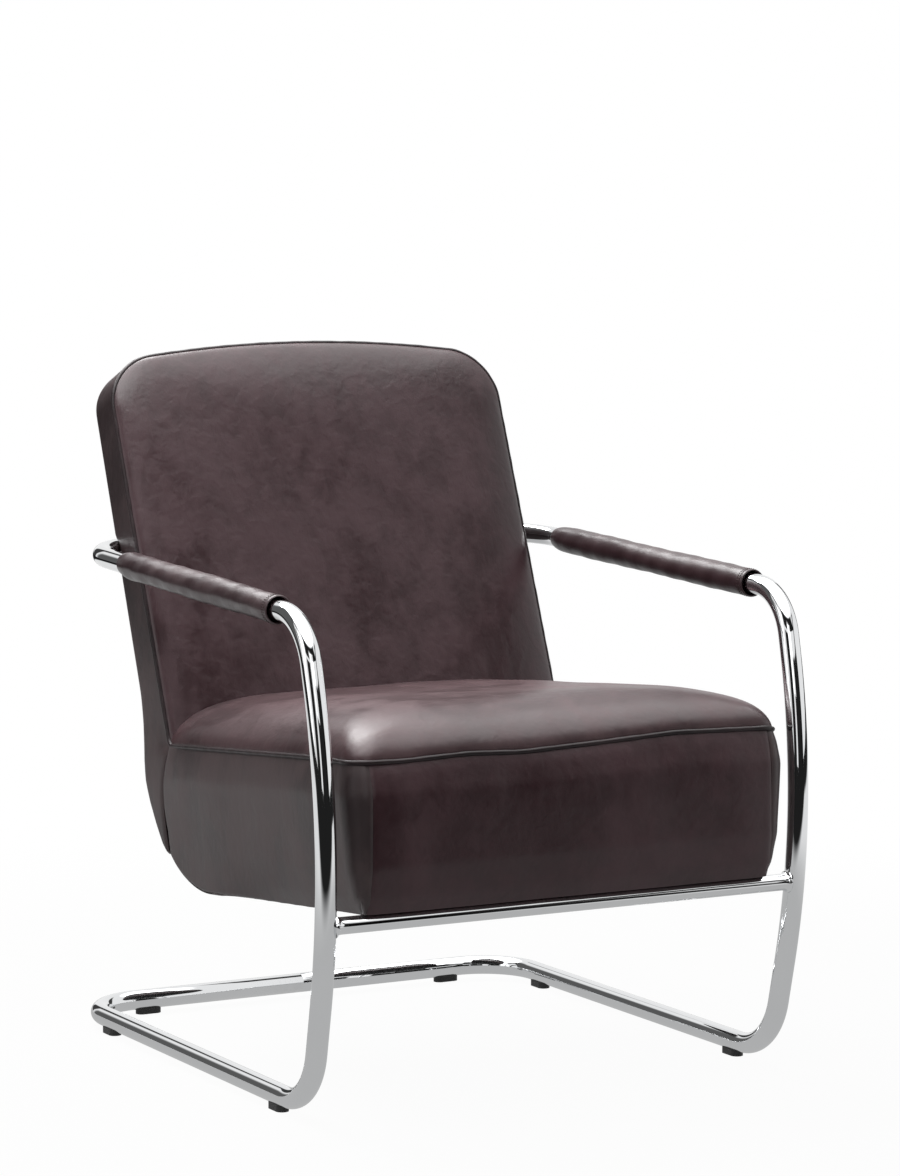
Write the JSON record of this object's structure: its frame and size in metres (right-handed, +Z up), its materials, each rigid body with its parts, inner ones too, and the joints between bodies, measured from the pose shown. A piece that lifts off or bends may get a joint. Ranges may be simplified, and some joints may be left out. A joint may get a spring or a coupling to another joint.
{
  "type": "cantilever lounge chair",
  "caption": "Low lounge chair with a bent chrome tube cantilever frame, a piped leather seat and back in one L-shaped unit, and leather arm sleeves.",
  "frame": {"origin": "on the floor, under the middle of the chair's bounding box", "axes": "+X across the chair, to the right as seen from the front, +Y to the rear, +Z up; the sitter faces -Y"},
  "size_m": [0.6754, 0.7766, 0.865],
  "materials": {
    "chrome_tube": "bright chrome plate on steel tube",
    "leather": "dark red-brown leather, semi-gloss, mottled",
    "leather_piping": "the same leather over a cord",
    "glide_plastic": "black moulded plastic",
    "bottom_cloth": "black woven lining",
    "hardwood": "planed beech, hidden",
    "foam": "cut upholstery foam, hidden",
    "felt": "pressed felt, hidden",
    "spring_steel": "oiled spring wire, hidden",
    "inner_steel": "plain steel, hidden",
    "fastener_steel": "zinc-plated steel"
  },
  "bodies": {
    "root": {"frame_tube_left": "chrome_tube", "frame_tube_right": "chrome_tube", "floor_bar_spigot": "inner_steel", "back_bar_spigot": "inner_steel", "front_crossbar": "chrome_tube", "crossbar_tabs": "chrome_tube", "glides": "glide_plastic", "arm_sleeve_left": "leather", "arm_sleeve_right": "leather", "arm_pad_left": "felt", "arm_pad_right": "felt", "seat_front_border": "leather", "seat_side_cover_left": "leather", "seat_side_cover_right": "leather", "seat_top_cover": "leather", "back_front_cover": "leather", "back_shell_cover": "leather", "piping": "leather_piping", "bottom_cloth": "bottom_cloth", "side_board_left": "hardwood", "side_board_right": "hardwood", "front_rail": "hardwood", "rear_rail": "hardwood", "back_foot_rail": "hardwood", "back_top_rail": "hardwood", "bar_rail": "hardwood", "seat_springs": "spring_steel", "seat_spring_clips": "inner_steel", "back_springs": "spring_steel", "back_spring_clips": "inner_steel", "seat_felt": "felt", "back_felt": "felt", "seat_foam": "foam", "back_foam": "foam", "front_pad": "foam", "rear_pad": "foam", "seat_side_pad_left": "foam", "seat_side_pad_right": "foam", "back_side_pad_left": "foam", "back_side_pad_right": "foam", "back_bolts": "fastener_steel", "back_tee_nuts": "fastener_steel", "back_bolt_spacers": "chrome_tube", "seat_bolts": "fastener_steel", "seat_inserts": "fastener_steel"}
  },
  "joints": []
}
